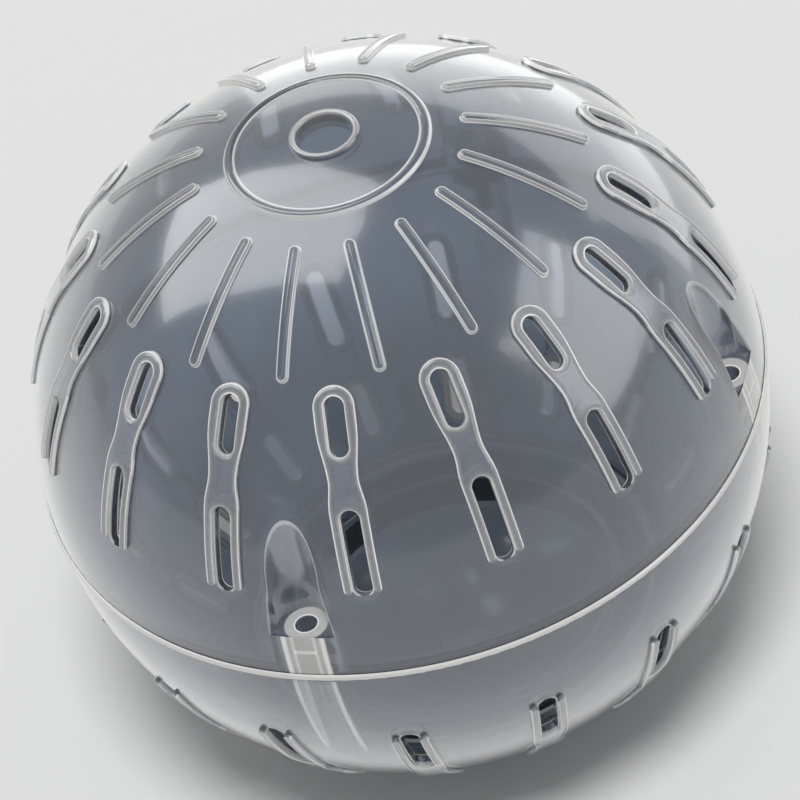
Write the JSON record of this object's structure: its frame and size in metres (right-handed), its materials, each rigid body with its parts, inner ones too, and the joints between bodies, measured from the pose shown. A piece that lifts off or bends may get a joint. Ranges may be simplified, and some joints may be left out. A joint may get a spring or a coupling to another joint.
{
  "type": "hamster ball",
  "caption": "Clear plastic exercise ball for a hamster: two vented half shells screwed together round the seam, with a push-in door in the lower pole.",
  "frame": {"origin": "centre of the ball", "axes": "+Z from the centre to the ribbed pole of the upper shell, -Z to the door, +X to the middle of a screw pocket"},
  "size_m": [0.1208, 0.1208, 0.121],
  "materials": {
    "clear_plastic": "clear, slightly hazy, polished",
    "screw_steel": "bright zinc plated"
  },
  "bodies": {
    "shells": {"upper_shell": "clear_plastic", "lower_shell": "clear_plastic", "shell_screws": "screw_steel"},
    "door": {"door": "clear_plastic"}
  },
  "joints": [
    {"name": "door_pull", "type": "slide", "parent": "shells", "child": "door", "axis": [0, 0, -1], "range_m": [0, 0.06]}
  ]
}
